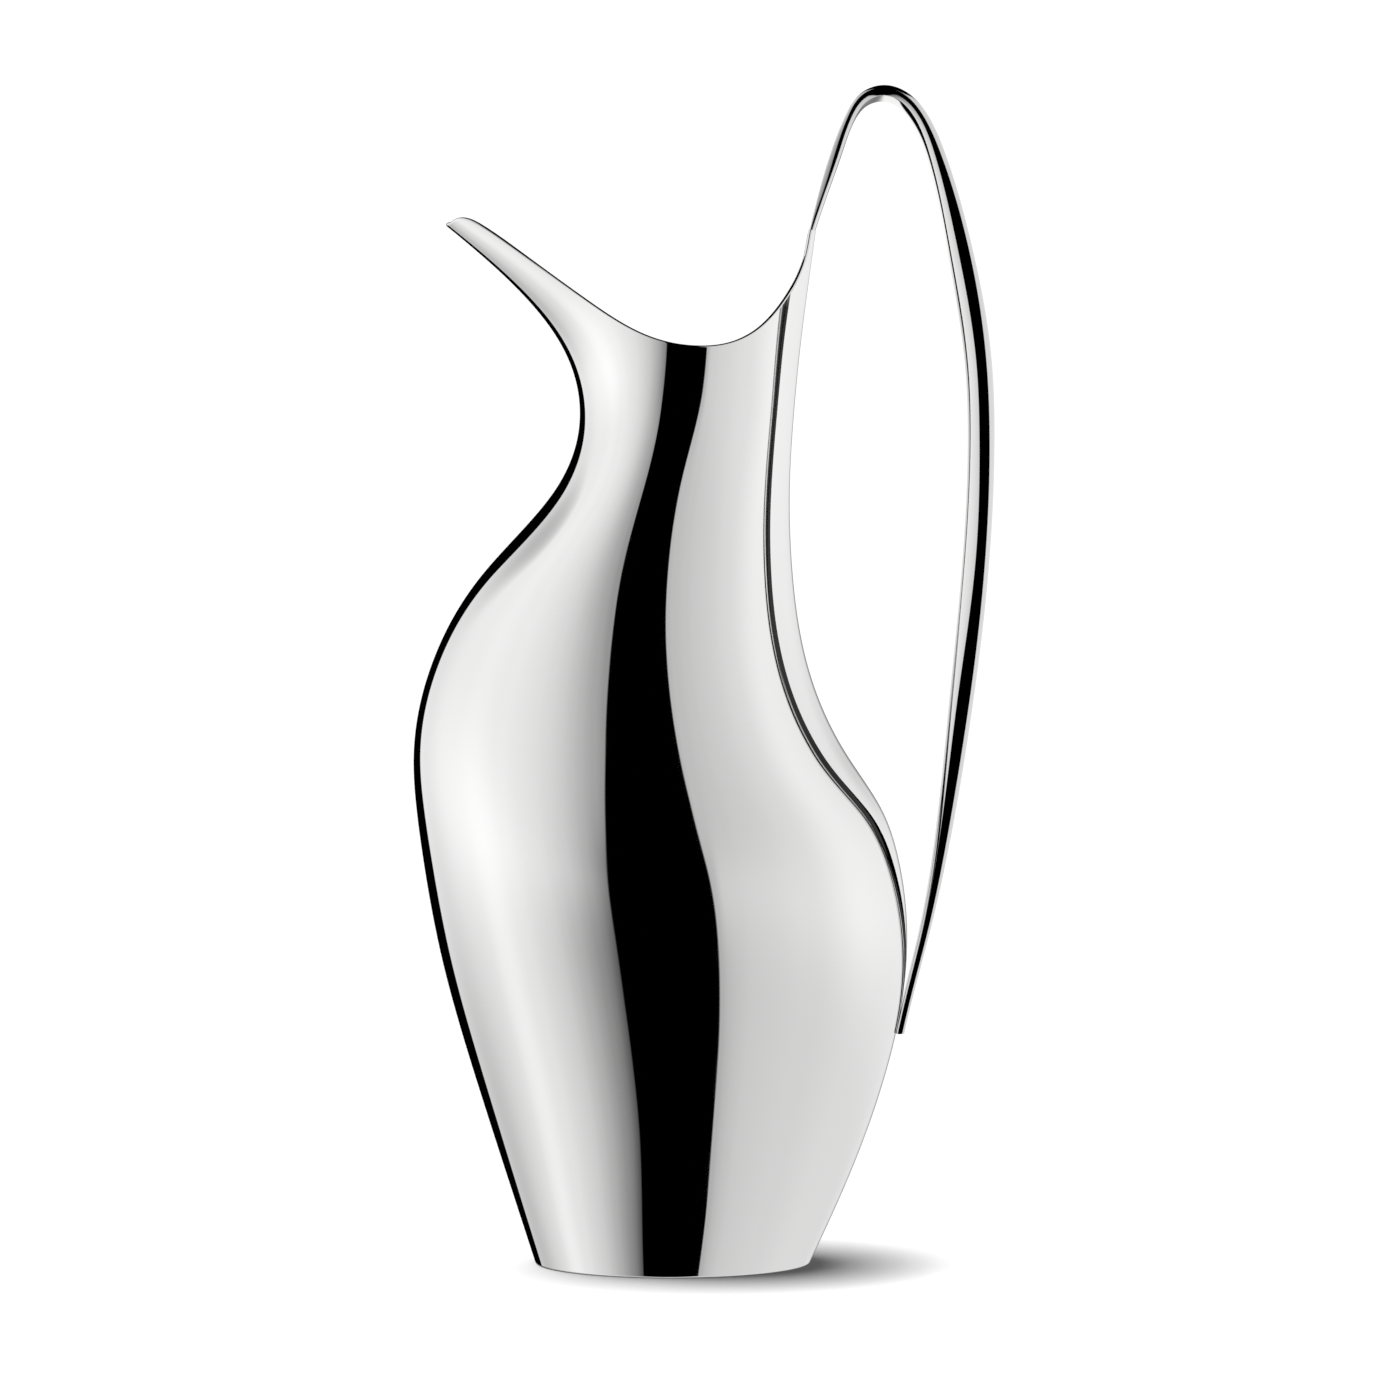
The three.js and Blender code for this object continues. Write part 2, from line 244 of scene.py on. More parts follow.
# The dark ceiling starts at the first Z and is full at the second, in front and behind. It changes from
# one to the other between two azimuths on each side.
CEILING_FRONT = (0.71, 0.74)
CEILING_BEHIND = (0.35, 0.90)
CEILING_TURN = (90, 130)

STUDIO_STRENGTH = 1.04
BACKDROP_STRENGTH = 1.05

# Half of the floor's width, in metres, and its roughness.
FLOOR_REACH = 6.0
FLOOR_ROUGHNESS = 0.9

# The floor's contact shade: its samples, how far it reaches, in metres, the way it looks, and the range
# of openness that makes its range of tones.
SHADE_SAMPLES = 32
SHADE_DISTANCE = 0.036
SHADE_TOWARD = (-0.60, 0.20, 0.77)
SHADE_OPENNESS = (0.3, 0.86)
SHADE_TONES = (0.08, 0.9)

# The overhead light's strength, and its spread and its tilts about X and Y in degrees.
LIGHT_STRENGTH = 3.2
LIGHT_SPREAD = 50
LIGHT_TILTS = (8, -28)

# ---- fineness of the meshes -------------------------------------------------------------------

COLUMNS_HALF = 150
COLUMNS_NECK = 10
ROWS_WALL = 210
STEPS_EDGE = 8
STEPS_FACE = 6
STEPS_CORNER = 4
SIDES_HALF = 5 * STEPS_FACE + 4 * STEPS_CORNER + 1
HANDLE_STEP = 0.8
PLATE_SIDES = 160

# Short steps for working out slopes, and the distance within which a point lies on the seam.
SMALL = 1e-3
SEAM_SNAP = 1e-4


# ---- curves -----------------------------------------------------------------------------------


def fair_curve(at, values):
    """A natural cubic spline through the values, for numpy arrays."""
    at = np.asarray(at, float)
    values = np.asarray(values, float)
    span = np.diff(at)
    slope = np.diff(values) / span
    count = len(at)
    matrix = np.eye(count)
    right = np.zeros(count)
    for i in range(1, count - 1):
        matrix[i, i - 1 : i + 2] = span[i - 1], 2 * (span[i - 1] + span[i]), span[i]
        right[i] = 6 * (slope[i] - slope[i - 1])
    bend = np.linalg.solve(matrix, right)

    def evaluate(wanted):
        wanted = np.asarray(wanted, float)
        i = np.clip(np.searchsorted(at, wanted) - 1, 0, count - 2)
        left = at[i + 1] - wanted
        along = wanted - at[i]
        return (
            (bend[i] * left**3 + bend[i + 1] * along**3) / (6 * span[i])
            + (values[i] / span[i] - bend[i] * span[i] / 6) * left
            + (values[i + 1] / span[i] - bend[i + 1] * span[i] / 6) * along
        )

    return evaluate


def fair_columns(names, at, stations):
    """One fair curve for each named column."""
    return {name: fair_curve(at, [row[i] for row in stations]) for i, name in enumerate(names)}


def find_zero(rising, low, high, halvings=45):
    """Where a rising function of numpy arrays reaches zero between low and high."""
    low = np.array(low, float)
    high = np.array(high, float)
    for _ in range(halvings):
        middle = (low + high) / 2
        below = rising(middle) < 0
        low = np.where(below, middle, low)
        high = np.where(below, high, middle)
    return (low + high) / 2


def unit(vectors):
    """Vectors of length 1 in the same directions."""
    return vectors / np.linalg.norm(vectors, axis=-1, keepdims=True)


# ---- the vessel's surface ---------------------------------------------------------------------

vessel = fair_columns(VESSEL_COLUMNS, [row[0] for row in VESSEL_STATIONS], VESSEL_STATIONS)
rim_height = fair_curve([x for x, _ in RIM_STATIONS], [z for _, z in RIM_STATIONS])


def vessel_point(angle, height):
    """The outer surface. The angle is 0 at the back, under the handle, and pi at the front."""
    front, back = vessel["front"](height), vessel["back"](height)
    crest, half_width = vessel["crest"](height), vessel["half_width"](height)
    front_pinch, back_pinch = vessel["front_pinch"](height), vessel["back_pinch"](height)
    forward = np.cos(angle)
    lean = (back + front) / 2 - crest
    pinch = (back_pinch - front_pinch) / 2 * forward + (back_pinch + front_pinch) / 2 * forward**2
    x = crest + (back - front) / 2 * forward + lean * forward**2
    y = half_width * np.sin(angle) * (1 - pinch)
    return np.stack([x, y, np.broadcast_to(height, x.shape)], axis=-1)


def vessel_normal(angle, height):
    """The direction straight out of the outer surface."""
    around = vessel_point(angle + SMALL, height) - vessel_point(angle - SMALL, height)
    up = vessel_point(angle, height + SMALL) - vessel_point(angle, height - SMALL)
    return unit(np.cross(around, up))


def before_neck(angle):
    """How far the wall at the neck's height is in front of the end of the rim."""
    return RIM_STATIONS[-1][0] - vessel_point(angle, np.array(NECK_HEIGHT))[..., 0]


neck_angle = float(find_zero(before_neck, 0.0, math.pi / 2))


def wall_height(angle):
    """How high the wall stands at an angle: up to the rim, or to the level cut at the neck."""
    lowest = np.full(angle.shape, LOWEST_RIM)
    highest = np.full(angle.shape, float(VESSEL_STATIONS[-1][0]))
    first_x = RIM_STATIONS[0][0]

    def above_rim(height):
        """How far a height is above the rim."""
        return height - rim_height(np.maximum(vessel_point(angle, height)[..., 0], first_x))

    top = find_zero(above_rim, lowest, highest)
    return np.where(angle <= neck_angle, NECK_HEIGHT, top)


# ---- the handle's surface ---------------------------------------------------------------------

ACROSS = np.array([0, 1, 0])

handle_xz = np.array([row[:2] for row in HANDLE_STATIONS])
handle_travel = np.concatenate([[0], np.cumsum(np.hypot(*np.diff(handle_xz, axis=0).T))])
handle_length = handle_travel[-1]
handle = fair_columns(HANDLE_COLUMNS, handle_travel, HANDLE_STATIONS)


def travel_at_height(height):
    """How far along the handle its long descending side comes down to a height."""
    return float(find_zero(lambda s: height - handle["height"](s), handle_length / 4, handle_length))


def handle_frame(travel):
    """The middle line, and the unit direction straight out of the loop, at each travel."""
    middle = np.stack([handle["x"](travel), 0 * travel, handle["height"](travel)], axis=-1)
    ahead = handle["x"](travel + SMALL) - handle["x"](travel - SMALL)
    up = handle["height"](travel + SMALL) - handle["height"](travel - SMALL)
    outward = unit(np.stack([-up, 0 * travel, ahead], axis=-1))
    return middle, outward


def oval_section(travel, inset):
    """Half of a rounded section, for the inside of the hollow grip: distances outward and across."""
    angle = np.linspace(0, math.pi, SIDES_HALF)[None, :]
    outward = np.cos(angle) * (1 + SQUARENESS * np.sin(angle) ** 2)
    across = np.sin(angle) * (1 + SQUARENESS * np.cos(angle) ** 2)
    thickness = handle["thickness"](travel)[:, None]
    width = handle["width"](travel)[:, None]
    return outward * (thickness / 2 - inset), across * (width / 2 - inset)


def two_radii(first_drop, second_drop, drop, first_rise, second_rise, rise):
    """The radii of a side and its chamfer that together drop and rise by the given amounts."""
    scale = first_drop * second_rise - second_drop * first_rise
    first = (drop * second_rise - rise * second_drop) / scale
    second = (rise * first_drop - drop * first_rise) / scale
    return first, second


def chamfered_section(travel):
    """Half of the handle's section, from the outside of the loop round the front to the finger side.

    Five faces, each bent a little, meet in tight rounded corners: the outer side, the outer chamfer,
    the front, the inner chamfer and the finger side. The directions in which each face starts and
    ends are in degrees from straight out. The front takes what the two shares leave of the thickness.
    It gives the section's distances outward and across, and the way it faces, in radians.
    """
    thickness, width = handle["thickness"](travel), handle["width"](travel)
    slant = 90 - handle["outer_slant"](travel)
    side = SIDE_TURN * thickness
    steady = np.ones_like(travel)
    front_start, front_end = 90 - FRONT_TURN, 90 + FRONT_TURN
    inner_start, inner_end = INNER_CHAMFER
    starts = [0 * steady, slant - OUTER_TURN, front_start * steady, inner_start * steady, 180 - side]
    ends = [side, slant + OUTER_TURN, front_end * steady, inner_end * steady, 180 * steady]
    starts, ends = np.radians(starts), np.radians(ends)
    drop = np.cos(starts) - np.cos(ends)
    rise = np.sin(ends) - np.sin(starts)
    corner_drop = np.cos(ends[:-1]) - np.cos(starts[1:])
    corner_rise = np.sin(starts[1:]) - np.sin(ends[:-1])

    outer_share, inner_share = handle["outer_share"](travel), handle["inner_share"](travel)
    outer_part = outer_share * thickness - CORNER * corner_drop[:2].sum(axis=0)
    inner_part = inner_share * thickness - CORNER * corner_drop[2:].sum(axis=0)
    front = thickness * (1 - outer_share - inner_share) / drop[2]
    outer_rise = width / 2 - CORNER * corner_rise[:2].sum(axis=0) - front * (1 - np.sin(starts[2]))
    inner_rise = width / 2 + CORNER * corner_rise[2:].sum(axis=0) - front * (1 - np.sin(ends[2]))
    # Each side and its chamfer make up one part of the thickness and half of the width.
    outer_side, outer = two_radii(drop[0], drop[1], outer_part, rise[0], rise[1], outer_rise)
    inner_side, inner = two_radii(drop[4], drop[3], inner_part, -rise[4], -rise[3], inner_rise)
    radii = [outer_side, outer, front, inner, inner_side]

    looks = []
    lengths = []

    def bend(first, last, radius, steps):
        """Adds the directions and the lengths of one face's or one corner's steps."""
        turn = (np.arange(steps) + 0.5) / steps
        looks.append(first[:, None] + (last - first)[:, None] * turn)
        lengths.append(np.repeat((radius * (last - first) / steps)[:, None], steps, axis=1))

    for face, radius in enumerate(radii):
        bend(starts[face], ends[face], radius, STEPS_FACE)
        if face + 1 < len(radii):
            bend(ends[face], starts[face + 1], CORNER, STEPS_CORNER)
    look = np.concatenate(looks, axis=1)
    length = np.concatenate(lengths, axis=1)
    none = np.zeros((len(travel), 1))
    inward = np.concatenate([none, np.cumsum(length * np.sin(look), axis=1)], axis=1)
    outward = thickness[:, None] / 2 - inward
    across = np.concatenate([none, np.cumsum(length * np.cos(look), axis=1)], axis=1)
    across[:, -1] = 0
    facing = np.concatenate([none, (look[:, 1:] + look[:, :-1]) / 2, none + math.pi], axis=1)
    return outward, across, facing


def handle_points(travel, outward, across):
    """Points in space of half sections given as distances outward and across, on the -Y side."""
    middle, out = handle_frame(travel)
    width = handle["width"](travel)[:, None]
    reach = outward + handle["bow"](travel)[:, None] * (across / (width / 2)) ** 2
    return middle[:, None] + out[:, None] * reach[..., None] - ACROSS * across[..., None]


def handle_surface(travel):
    """Points and normals of the -Y half of the handle's outside: rows along it, columns round it."""
    outward, across, facing = chamfered_section(travel)
    points = handle_points(travel, outward, across)
    _, out = handle_frame(travel)
    width = handle["width"](travel)[:, None]
    bow = 2 * handle["bow"](travel)[:, None] * across / (width / 2) ** 2
    round_out = -np.sin(facing) + bow * np.cos(facing)
    round_way = out[:, None] * round_out[..., None] - ACROSS * np.cos(facing)[..., None]
    along = np.gradient(points, travel, axis=0)
    return points, unit(np.cross(round_way, along))


# ---- meshes -----------------------------------------------------------------------------------


def link(name, points, faces, normals=None, sharp_faces=()):
    """A smooth mesh object from points in millimetres, with its own normals where they are given."""
    mesh = bpy.data.meshes.new(name)
    mesh.from_pydata((np.asarray(points) * MM).tolist(), [], [list(map(int, f)) for f in faces])
    mesh.update()
    mesh.shade_smooth()
    if normals is not None:
        flat = set(sharp_faces)
        corner = [None] * len(mesh.loops)
        for polygon in mesh.polygons:
            for loop in polygon.loop_indices:
                own = polygon.normal if polygon.index in flat else normals[mesh.loops[loop].vertex_index]
                corner[loop] = tuple(own)
        mesh.normals_split_custom_set(corner)
    piece = bpy.data.objects.new(name, mesh)
    bpy.context.scene.collection.objects.link(piece)
    return piece


def ring_faces(rings, sides):
    """Faces between closed rings one after another, where point j of ring i has index i * sides + j."""
    first = np.repeat(np.arange(rings - 1) * sides, sides)
    point = np.tile(np.arange(sides), rings - 1)
    after = (point + 1) % sides
    second = first + sides
    return np.stack([first + point, second + point, second + after, first + after], axis=1)


def vessel_half(name, side):
    """One pressed half: its outside, rounded rim, inside and rounded foot, closed on the seam plane."""
    neck = np.linspace(0, neck_angle, COLUMNS_NECK, endpoint=False)
    angles = np.concatenate([neck, np.linspace(neck_angle, math.pi, COLUMNS_HALF)])
    angle = angles[:, None]
    top = wall_height(angles)[:, None]
    share = np.linspace(0, 1, ROWS_WALL)[None, :]
    foot = WALL / 2
    height = foot + (top - foot) * share
    outside = vessel_point(angle, height)
    normal = vessel_normal(angle, height)
    middle = outside - normal * WALL / 2
    inside = outside - normal * WALL

    def edge(column, along_edge, first, last):
        """A half round from the outside to the inside, round the end of the wall."""
        centre, across = middle[:, column], normal[:, column]
        beyond = unit(np.cross(along_edge, across))
        turn = np.linspace(first, last, STEPS_EDGE + 1)[1:-1]
        directions = (
            across[:, None] * np.cos(turn)[None, :, None] + beyond[:, None] * np.sin(turn)[None, :, None]
        )
        return centre[:, None] + directions * WALL / 2, directions

    rim_way = np.gradient(outside[:, -1], angles, axis=0)
    foot_way = np.gradient(outside[:, 0], angles, axis=0)
    rim_points, rim_normals = edge(-1, -rim_way, 0, math.pi)
    foot_points, foot_normals = edge(0, foot_way, math.pi, 0)
    points = np.concatenate([outside, rim_points, inside[:, ::-1], foot_points], axis=1)
    normals = np.concatenate([normal, rim_normals, -normal[:, ::-1], foot_normals], axis=1)
    columns, rows = points.shape[:2]
    faces = ring_faces(columns, rows)

    def partner(row):
        """The row on the other face of the wall, straight across from this one."""
        return (2 * ROWS_WALL + STEPS_EDGE - 2 - row) % rows

    seam = []
    for first in (0, (columns - 1) * rows):
        for row in range(-STEPS_EDGE // 2, ROWS_WALL + STEPS_EDGE // 2 - 1):
            ring = [row % rows, row + 1, partner(row + 1), partner(row)]
            ring = [first + corner % rows for corner in dict.fromkeys(corner % rows for corner in ring)]
            seam.append(ring[::-1] if first else ring)
    flat_points = points.reshape(-1, 3) * [1, side, 1]
    flat_normals = normals.reshape(-1, 3) * [1, side, 1]
    flat_points[:, 1] = np.where(np.abs(flat_points[:, 1]) < SEAM_SNAP, 0, flat_points[:, 1])
    every = [list(face) for face in faces] + seam
    if side < 0:
        every = [face[::-1] for face in every]
    sharp = range(len(faces), len(every))
    return link(name, flat_points, every, flat_normals, sharp)


def whole_ring(half):
    """A whole ring of points or normals from its -Y half, running on round the +Y half."""
    mirrored = half[:, -2:0:-1] * [1, -1, 1]
    return np.concatenate([half, mirrored], axis=1)


def tube(name, travel, level_start=None, level_end=None):
    """A closed stretch of the handle, with an end cut level where a height is given."""
    points, normals = (whole_ring(half) for half in handle_surface(travel))
    if level_start is not None:
        points[0, :, 2] = level_start
    if level_end is not None:
        points[-1, :, 2] = level_end
    count, sides = points.shape[:2]
    faces = [list(face)[::-1] for face in ring_faces(count, sides)]
    caps = [list(range(sides))[::-1], list(range((count - 1) * sides, count * sides))]
    sharp = range(len(faces), len(faces) + len(caps))
    return link(name, points.reshape(-1, 3), faces + caps, normals.reshape(-1, 3), sharp)


def channel(name, travel, outer):
    """One pressed channel of the hollow grip: the outer one or the finger side's."""
    points, normals = (whole_ring(half) for half in handle_surface(travel))
    hollow = whole_ring(handle_points(travel, *oval_section(travel, GRIP_WALL)))
    sides = points.shape[1]
    quarter = SIDES_HALF // 2
    first = -quarter if outer else quarter
    keep = np.arange(first, first + sides // 2 + 1) % sides
    points = np.concatenate([points[:, keep], hollow[:, keep][:, ::-1]], axis=1)
    normals = np.concatenate([normals[:, keep], -normals[:, keep][:, ::-1]], axis=1)
    count, rows = points.shape[:2]
    half = rows // 2
    smooth = []
    flat = []
    for face in ring_faces(count, rows):
        row = {int(face[0]) % rows, int(face[2]) % rows}
        joint = row in ({half - 1, half}, {0, rows - 1})
        (flat if joint else smooth).append(list(face)[::-1])
    for first in (0, (count - 1) * rows):
        for k in range(half - 1):
            ring = [first + k, first + k + 1, first + rows - 2 - k, first + rows - 1 - k]
            flat.append(ring if first else ring[::-1])
    faces = smooth + flat
    sharp = range(len(smooth), len(faces))
    return link(name, points.reshape(-1, 3), faces, normals.reshape(-1, 3), sharp)


def base_plate(name):
    """The dished plate inside the foot, with a flat flange that stands on the table."""
    angle = np.linspace(0, 2 * math.pi, PLATE_SIDES, endpoint=False)
    centre = np.array([float(vessel["crest"](0.0)), 0, 0])
    reach = vessel_point(angle, np.zeros_like(angle)) - centre
    reach = reach - unit(reach) * (WALL + PLATE_GAP)
    rings = [centre + reach * [share, share, 0] + [0, 0, z] for share, z in PLATE_SECTION[1:-1]]
    points = np.stack(rings)
    count, sides = points.shape[:2]
    faces = [list(face)[::-1] for face in ring_faces(count, sides)]
    middles = [centre + [0, 0, z] for z in (PLATE_SECTION[0][1], PLATE_SECTION[-1][1])]
    low, high = count * sides, count * sides + 1
    last = (count - 1) * sides
    for side in range(sides):
        after = (side + 1) % sides
        faces.append([low, after, side])
        faces.append([high, last + side, last + after])
    return link(name, list(points.reshape(-1, 3)) + middles, faces)


# ---- materials --------------------------------------------------------------------------------


def new_material(name):
    """A new material, with its nodes, its links and its shader."""
    material = bpy.data.materials.new(name)
    material.use_nodes = True
    nodes, links = material.node_tree.nodes, material.node_tree.links
    return material, nodes, links, nodes["Principled BSDF"]


def noise(nodes, links, vector, fineness, stretch=(1, 1, 1)):
    """Noise in the piece's own metres, drawn out along an axis where its stretch is under 1."""
    stretched = nodes.new("ShaderNodeMapping")
    stretched.inputs["Scale"].default_value = stretch
    links.new(vector, stretched.inputs["Vector"])
    scale, detail = fineness
    texture = nodes.new("ShaderNodeTexNoise")
    texture.inputs["Scale"].default_value = scale
    texture.inputs["Detail"].default_value = detail
    links.new(stretched.outputs["Vector"], texture.inputs["Vector"])
    return texture.outputs["Fac"]


def spread(nodes, links, value, start, end, low=0.0, high=1.0):
    """A value spread so that start to end becomes low to high, and held there beyond."""
    node = nodes.new("ShaderNodeMapRange")
    for name, bound in (("From Min", start), ("From Max", end), ("To Min", low), ("To Max", high)):
        node.inputs[name].default_value = bound
    links.new(value, node.inputs["Value"])
    return node.outputs["Result"]


def silver(name, finish):
    """Bare silver: a slight tone, cloudy polish, fine upright scratches and a slightly uneven sheet."""
    smoothest, roughest, scratch_depth, sheet_depth = finish
    material, nodes, links, shader = new_material(name)
    shader.inputs["Metallic"].default_value = 1.0
    place = nodes.new("ShaderNodeTexCoord").outputs["Object"]

    colours = nodes.new("ShaderNodeValToRGB")
    for element, colour in zip(colours.color_ramp.elements, SILVER_COLOURS):
        element.color = colour
    links.new(noise(nodes, links, place, TONE_NOISE), colours.inputs["Fac"])
    links.new(colours.outputs["Color"], shader.inputs["Base Color"])

    clouds = noise(nodes, links, place, CLOUD_NOISE)
    scratches = noise(nodes, links, place, SCRATCH_NOISE, SCRATCH_STRETCH)
    polish = nodes.new("ShaderNodeMath")
    polish.operation = "MULTIPLY_ADD"
    links.new(scratches, polish.inputs[0])
    polish.inputs[1].default_value = SCRATCH_SHARE
    links.new(spread(nodes, links, clouds, *NOISE_MIDDLE, 0.0, 1 - SCRATCH_SHARE), polish.inputs[2])
    roughness = spread(nodes, links, polish.outputs[0], *NOISE_MIDDLE, smoothest, roughest)
    links.new(roughness, shader.inputs["Roughness"])

    def bump(height, depth, under=None):
        """The normal of a relief of a depth in metres, on top of another's where one is given."""
        relief = nodes.new("ShaderNodeBump")
        relief.inputs["Strength"].default_value = 1.0
        relief.inputs["Distance"].default_value = depth
        links.new(height, relief.inputs["Height"])
        if under is not None:
            links.new(under, relief.inputs["Normal"])
        return relief.outputs["Normal"]

    sheet = bump(noise(nodes, links, place, SHEET_NOISE), sheet_depth)
    links.new(bump(scratches, scratch_depth, sheet), shader.inputs["Normal"])
    return material


def silver_with_painted_shade(name):
    """Polished silver with painted shade: near black below the arch where it looks along the seam plane.

    That is the finger side, and at the tip the outer side too, where the dark of the crease is painted into
    the colour.
    """
    material = silver(name, POLISHED)
    nodes, links = material.node_tree.nodes, material.node_tree.links
    shader = nodes["Principled BSDF"]
    polished = shader.inputs["Base Color"].links[0].from_socket
    coordinates = nodes.new("ShaderNodeTexCoord")

    def fading(vector, axis, bounds):
        """0 where one coordinate is at the first bound, and 1 where it is at the second."""
        split = nodes.new("ShaderNodeSeparateXYZ")
        links.new(vector, split.inputs[0])
        return spread(nodes, links, split.outputs[axis], *bounds)

    def both(first, second):
        """The product of two shares."""
        product = nodes.new("ShaderNodeMath")
        product.operation = "MULTIPLY"
        links.new(first, product.inputs[0])
        links.new(second, product.inputs[1])
        return product.outputs[0]

    facing = coordinates.outputs["Normal"]
    flat = both(fading(facing, "Y", PAINTED_SHADE_NEAR), fading(facing, "Y", PAINTED_SHADE_FAR))
    painted_shade = both(flat, fading(coordinates.outputs["Object"], "Z", PAINTED_SHADE_HEIGHT))
    # Painted shade: mixes the near black into the silver's colour where the mask is on.
    mix = nodes.new("ShaderNodeMix")
    mix.data_type = "RGBA"
    links.new(painted_shade, mix.inputs["Factor"])
    links.new(polished, mix.inputs["A"])
    mix.inputs["B"].default_value = PAINTED_SHADE_COLOUR
    links.new(mix.outputs["Result"], shader.inputs["Base Color"])
    return material


# ---- light and camera -------------------------------------------------------------------------


def studio_world():
    """Two long softboxes with a dark gap in front, a dark flag behind at the left and a dark ceiling."""
    world = bpy.data.worlds.new("studio")
    bpy.context.scene.world = world
    world.use_nodes = True
    nodes, links = world.node_tree.nodes, world.node_tree.links
    nodes.clear()

    def feed(socket, value):
        """Gives a socket a number or another node's output."""
        if isinstance(value, (int, float)):
            socket.default_value = value
        else:
            links.new(value, socket)

    def work_out(operation, *values):
        """The result of one operation on numbers and outputs."""
        node = nodes.new("ShaderNodeMath")
        node.operation = operation
        for socket, value in zip(node.inputs, values):
            feed(socket, value)
        return node.outputs[0]

    def times(first, second):
        return work_out("MULTIPLY", first, second)

    def plus(first, second):
        return work_out("ADD", first, second)

    def minus(first, second):
        return work_out("SUBTRACT", first, second)

    def step(value, low, high):
        """0 below low and 1 above high, smooth between."""
        node = nodes.new("ShaderNodeMapRange")
        node.interpolation_type = "SMOOTHSTEP"
        feed(node.inputs["From Min"], low)
        feed(node.inputs["From Max"], high)
        links.new(value, node.inputs["Value"])
        return node.outputs["Result"]

    direction = nodes.new("ShaderNodeTexCoord").outputs["Generated"]
    parts = nodes.new("ShaderNodeSeparateXYZ")
    links.new(direction, parts.inputs[0])
    x, y, z = parts.outputs
    azimuth = work_out("ARCTAN2", x, times(y, -1.0))
    turn = plus(work_out("DIVIDE", azimuth, 2 * math.pi), 0.5)

    # The ring's red, green and blue are the light that a reflection sees looking down, level and up.
    ring = nodes.new("ShaderNodeValToRGB")
    ring.color_ramp.interpolation = "CARDINAL"
    elements = ring.color_ramp.elements
    while len(elements) < len(STUDIO_RING):
        elements.new(0.5)
    for element, (degrees, down, level, up) in zip(elements, STUDIO_RING):
        element.position = degrees / 360 + 0.5
        element.color = (down, level, up, 1)
    links.new(turn, ring.inputs["Fac"])
    tones = nodes.new("ShaderNodeSeparateColor")
    links.new(ring.outputs["Color"], tones.inputs[0])
    down, level, up = tones.outputs
    below = times(minus(1.0, step(z, -FULL_TILT, 0.0)), minus(down, level))
    above = times(step(z, 0.0, FULL_TILT), minus(up, level))
    softboxes = plus(level, plus(below, above))

    def outside(middle, half, blur):
        """0 in a band of azimuths either side of a middle one, and 1 outside it."""
        beyond = minus(work_out("ABSOLUTE", minus(azimuth, math.radians(middle))), half)
        return step(beyond, -math.radians(blur), math.radians(blur))

    gap_lean = times(z, math.radians(GAP_LEAN))
    gap_bulge = times(times(z, z), math.radians(GAP_BULGE))
    gap_half = minus(minus(math.radians(GAP_HALF), gap_lean), gap_bulge)
    outside_gap = outside(0, gap_half, GAP_BLUR)
    outside_flag = outside(FLAG_AZIMUTH, math.radians(FLAG_HALF), FLAG_BLUR)

    # In front the ceiling has a clear edge, and behind it darkens slowly from lower down.
    turn_start, turn_end = CEILING_TURN
    behind = step(work_out("ABSOLUTE", azimuth), math.radians(turn_start), math.radians(turn_end))
    edges = [plus(front, times(behind, back - front)) for front, back in zip(CEILING_FRONT, CEILING_BEHIND)]
    outside_ceiling = minus(1.0, step(z, *edges))
    lit = times(times(outside_gap, outside_flag), outside_ceiling)

    studio = nodes.new("ShaderNodeBackground")
    links.new(times(softboxes, lit), studio.inputs["Color"])
    studio.inputs["Strength"].default_value = STUDIO_STRENGTH
    backdrop = nodes.new("ShaderNodeBackground")
    backdrop.inputs["Color"].default_value = (1, 1, 1, 1)
    backdrop.inputs["Strength"].default_value = BACKDROP_STRENGTH
    mix = nodes.new("ShaderNodeMixShader")
    links.new(nodes.new("ShaderNodeLightPath").outputs["Is Camera Ray"], mix.inputs["Fac"])
    links.new(studio.outputs[0], mix.inputs[1])
    links.new(backdrop.outputs[0], mix.inputs[2])
    result = nodes.new("ShaderNodeOutputWorld")
    links.new(mix.outputs[0], result.inputs["Surface"])


def floor():
    """A white floor that darkens where the object stands close over it, away from the light."""
    mesh = bpy.data.meshes.new("floor")
    corners = [(x * FLOOR_REACH, y * FLOOR_REACH, 0) for x, y in ((-1, -1), (1, -1), (1, 1), (-1, 1))]
    mesh.from_pydata(corners, [], [(0, 1, 2, 3)])
    piece = bpy.data.objects.new("floor", mesh)
    bpy.context.scene.collection.objects.link(piece)
    material, nodes, links, shader = new_material("floor_white")
    toward = nodes.new("ShaderNodeCombineXYZ")
    for socket, value in zip(toward.inputs, SHADE_TOWARD):
        socket.default_value = value
    contact = nodes.new("ShaderNodeAmbientOcclusion")
    contact.samples = SHADE_SAMPLES
    contact.inputs["Distance"].default_value = SHADE_DISTANCE
    links.new(toward.outputs[0], contact.inputs["Normal"])
    shade = spread(nodes, links, contact.outputs["AO"], *SHADE_OPENNESS, *SHADE_TONES)
    links.new(shade, shader.inputs["Base Color"])
    shader.inputs["Roughness"].default_value = FLOOR_ROUGHNESS
    shader.inputs["Specular IOR Level"].default_value = 0.0
    mesh.materials.append(material)
    piece.visible_glossy = False


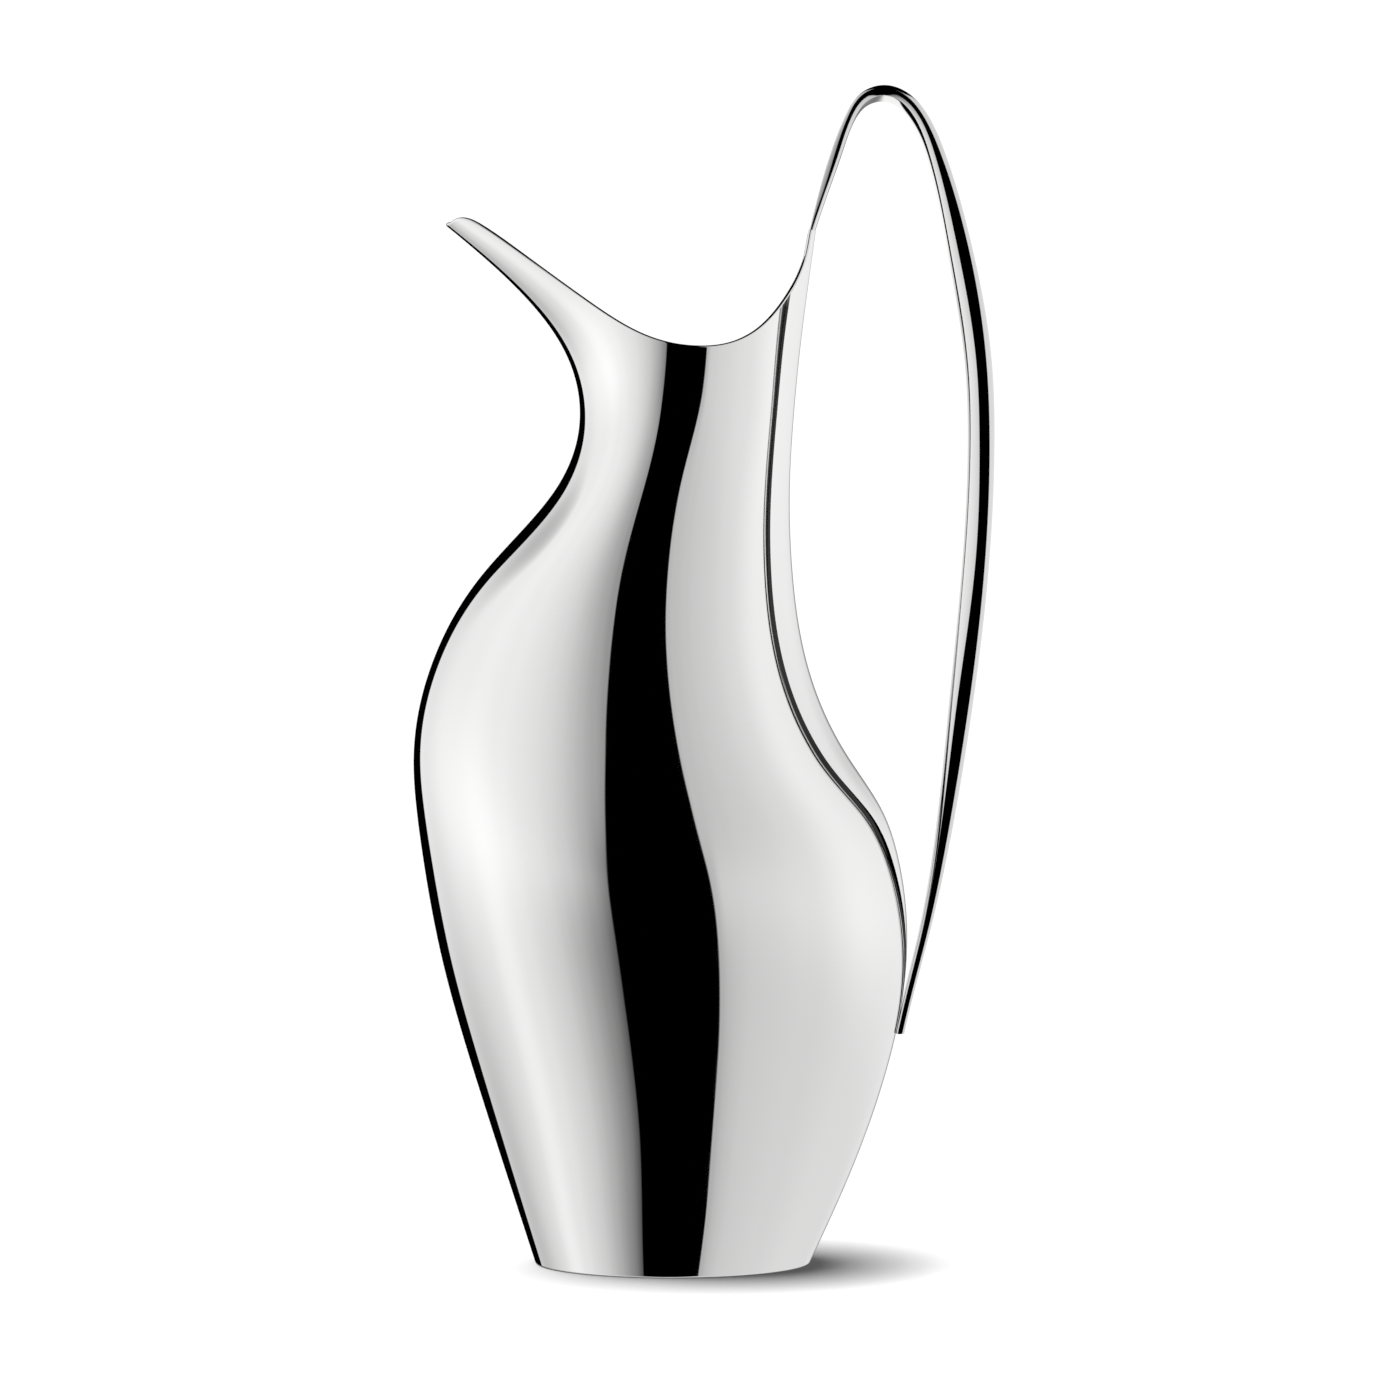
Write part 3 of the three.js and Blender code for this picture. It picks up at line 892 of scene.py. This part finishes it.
def key_light():
    """A wide soft light from overhead, for the floor alone: the silver doesn't reflect it."""
    light = bpy.data.lights.new("overhead", "SUN")
    light.energy = LIGHT_STRENGTH
    light.angle = math.radians(LIGHT_SPREAD)
    light.use_shadow = False
    lamp = bpy.data.objects.new("overhead", light)
    tilt_x, tilt_y = LIGHT_TILTS
    lamp.rotation_euler = (math.radians(tilt_x), math.radians(tilt_y), 0.0)
    lamp.visible_glossy = False
    lamp.visible_camera = False
    bpy.context.scene.collection.objects.link(lamp)


def camera():
    """The photograph's view: level, from the front."""
    data = bpy.data.cameras.new("camera")
    data.lens = CAMERA_LENS
    data.sensor_width = CAMERA_SENSOR
    data.clip_start, data.clip_end = CAMERA_CLIP
    view = bpy.data.objects.new("camera", data)
    view.location = (CAMERA_SIDE, -CAMERA_DISTANCE, CAMERA_HEIGHT)
    view.rotation_euler = (math.pi / 2, 0.0, 0.0)
    bpy.context.scene.collection.objects.link(view)
    bpy.context.scene.camera = view


# ---- the object -------------------------------------------------------------------------------


def place(piece, node, slot, material):
    """Puts a piece on the frame in place of its CAD node."""
    piece.data.materials.append(material)
    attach(piece, "root")
    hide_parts(node)


def build():
    """Every piece of the pitcher."""
    vessel_silver = silver("vessel_silver", POLISHED)
    handle_silver = silver("handle_silver", POLISHED)
    place(vessel_half("vessel_left", 1), "vessel_left_half", "polished_silver", vessel_silver)
    place(vessel_half("vessel_right", -1), "vessel_right_half", "polished_silver", vessel_silver)
    place(base_plate("base"), "base_plate", "satin_silver", silver("base_silver", SATIN))

    stem_end, tip_start = travel_at_height(GRIP_START), travel_at_height(GRIP_END)

    def steps(start, end):
        """Even steps along the handle."""
        return np.linspace(start, end, int((end - start) / HANDLE_STEP) + 2)

    stem = tube("stem", steps(0, stem_end), level_start=NECK_HEIGHT)
    place(stem, "handle_stem", "handle_silver", handle_silver)
    grip = steps(stem_end, tip_start)
    place(channel("grip_outer", grip, True), "grip_outer_shell", "handle_silver", handle_silver)
    # The finger side and the tip get silver with painted shade: a dark crease painted into their colour.
    painted_shade = silver_with_painted_shade("silver_with_painted_shade")
    place(channel("grip_inner", grip, False), "grip_inner_shell", "handle_silver", painted_shade)
    tip = tube("tip", steps(tip_start, handle_length), level_end=TIP_HEIGHT)
    place(tip, "handle_tip", "handle_silver", painted_shade)


camera()
studio_world()
floor()
key_light()
build()
bpy.context.scene.view_settings.view_transform = "Standard"
